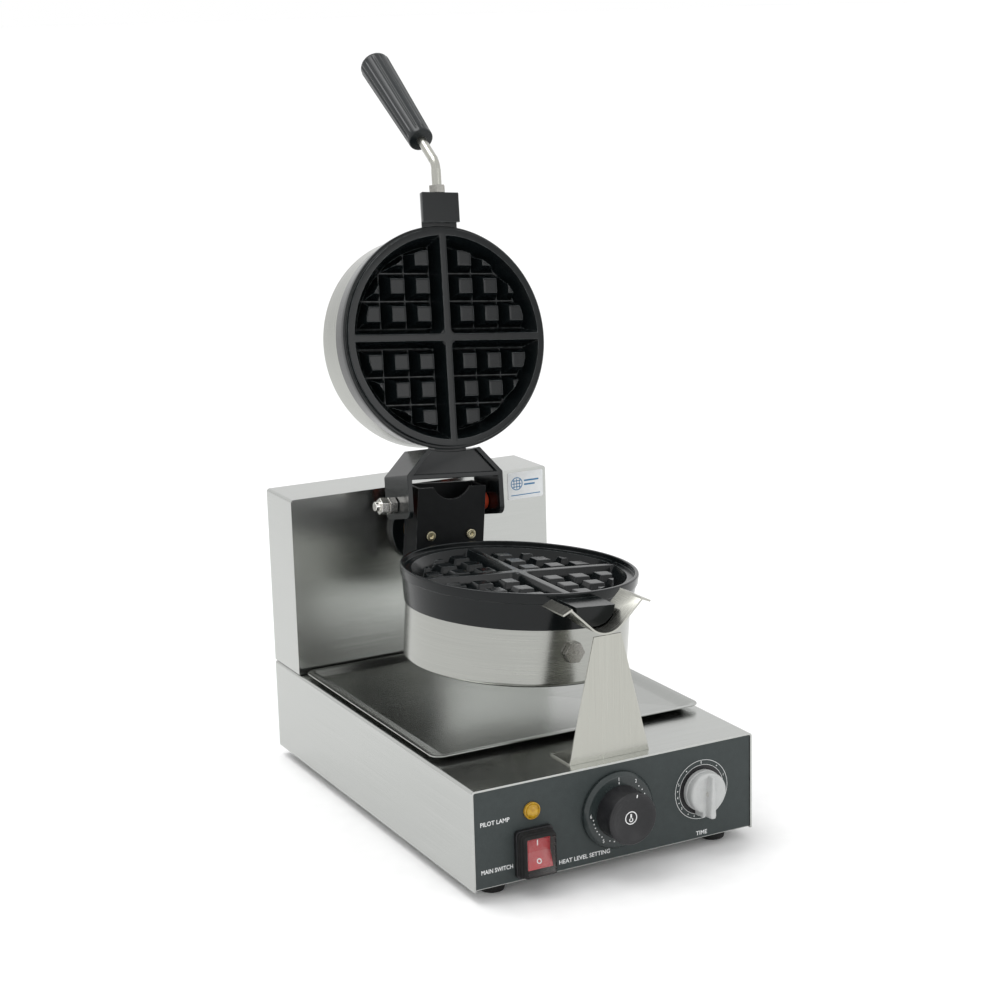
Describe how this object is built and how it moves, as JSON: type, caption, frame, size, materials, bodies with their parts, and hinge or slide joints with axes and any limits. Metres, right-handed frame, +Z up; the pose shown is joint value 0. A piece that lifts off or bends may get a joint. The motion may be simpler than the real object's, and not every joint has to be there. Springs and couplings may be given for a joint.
{
  "type": "waffle maker",
  "caption": "Rotary waffle maker: box base with tray and controls, rear tower, and a pair of round deep-grid moulds with a hinged lid and handle that turn over together on a shaft.",
  "frame": {"origin": "centre of the whole object's plan box at the height of the feet's undersides, lid open", "axes": "+Z up, -Y towards the front with the controls, +X to the user's right; the turning shaft runs along Y"},
  "size_m": [0.25, 0.4992, 0.618],
  "materials": {
    "steel_sheet": "brushed stainless sheet",
    "steel_pan": "spun brushed stainless",
    "fascia": "satin dark slate paint",
    "coated_cast": "satin dark slate non-stick coating on cast metal",
    "bracket_black": "satin black paint on steel plate",
    "bright_steel": "bright plated steel",
    "screw_plate": "yellow-silver plated steel",
    "bearing_bronze": "plain turned bronze",
    "black_rubber": "matt black rubber",
    "black_plastic": "satin black moulded plastic",
    "grip_plastic": "satin-gloss black moulded plastic",
    "grey_plastic": "light grey moulded plastic",
    "red_plastic": "glossy red plastic",
    "amber_lens": "translucent amber plastic",
    "clear_boot": "clear flexible plastic boot",
    "silicone_red": "matt orange-red silicone",
    "label_white": "blank pale sticker",
    "insulation": "pressed mineral fibre",
    "terminal_plastic": "ivory plastic",
    "heater_metal": "heat-darkened tube"
  },
  "bodies": {
    "base": {"base_shell": "steel_sheet", "front_panel": "fascia", "bottom_plate": "steel_sheet", "bottom_plate_screws": "bright_steel", "feet": "black_rubber", "foot_screws": "bright_steel", "tower_gasket": "black_rubber", "tower_shell": "steel_sheet", "tower_back_cover": "steel_sheet", "tower_cover_screws": "bright_steel", "cradle_stand": "steel_sheet", "cradle_trough": "steel_sheet", "bearing_housing": "coated_cast", "bearing_bush": "bearing_bronze", "housing_screws": "bright_steel", "flip_stop": "bracket_black", "terminal_block": "terminal_plastic", "switch_body": "black_plastic", "switch_bezel": "black_plastic", "switch_cover": "clear_boot", "pilot_body": "black_plastic", "pilot_lens": "amber_lens", "thermostat_body": "steel_sheet", "timer_body": "steel_sheet", "blank_label": "label_white", "cable_gland": "black_plastic", "gland_nut": "black_plastic"},
    "drip_tray": {"drip_tray": "steel_sheet"},
    "rocker": {"switch_rocker": "red_plastic"},
    "thermostat_dial": {"thermostat_shaft": "bright_steel", "thermostat_skirt": "black_plastic", "thermostat_grip": "black_plastic"},
    "timer_dial": {"timer_shaft": "bright_steel", "timer_knob": "grey_plastic"},
    "head": {"hollow_shaft": "bright_steel", "shaft_collar": "bracket_black", "hub_plate": "bracket_black", "hinge_plate": "bracket_black", "hinge_plate_screws": "screw_plate", "lug_bolts": "bright_steel", "lower_mould": "coated_cast", "lower_shroud": "steel_pan", "lower_heater": "heater_metal", "lower_insulation": "insulation", "lower_shroud_bolts": "bright_steel", "hinge_pin": "bright_steel", "hinge_nuts": "bright_steel", "silicone_bushes": "silicone_red"},
    "lid": {"lid_bracket": "coated_cast", "lid_bracket_screws": "bright_steel", "upper_mould": "coated_cast", "upper_shroud": "steel_pan", "upper_heater": "heater_metal", "upper_insulation": "insulation", "upper_shroud_nut": "bright_steel", "handle_rod": "bright_steel", "handle_nut": "bright_steel", "handle_grip": "grip_plastic"}
  },
  "joints": [
    {"name": "head_flip", "type": "hinge", "parent": "base", "child": "head", "pos_m": [0, 0.10639, 0.2074], "axis": [0, 1, 0], "range_deg": [-4.6, 25]},
    {"name": "lid_hinge", "type": "hinge", "parent": "head", "child": "lid", "pos_m": [0.00225, 0.06839, 0.23541], "axis": [0.9968, 0, -0.0802], "range_deg": [0, 102.5]},
    {"name": "tray_lift", "type": "slide", "parent": "base", "child": "drip_tray", "axis": [1, 0, 0], "range_m": [0, 0.26]},
    {"name": "power_rocker", "type": "hinge", "parent": "base", "child": "rocker", "pos_m": [-0.074, -0.21861, 0.032], "axis": [1, 0, 0], "range_deg": [0, 18]},
    {"name": "thermostat_turn", "type": "hinge", "parent": "base", "child": "thermostat_dial", "pos_m": [0, -0.22461, 0.05], "axis": [0, 1, 0], "range_deg": [0, 270]},
    {"name": "timer_turn", "type": "hinge", "parent": "base", "child": "timer_dial", "pos_m": [0.0777, -0.22461, 0.0505], "axis": [0, 1, 0], "range_deg": [0, 300]}
  ]
}
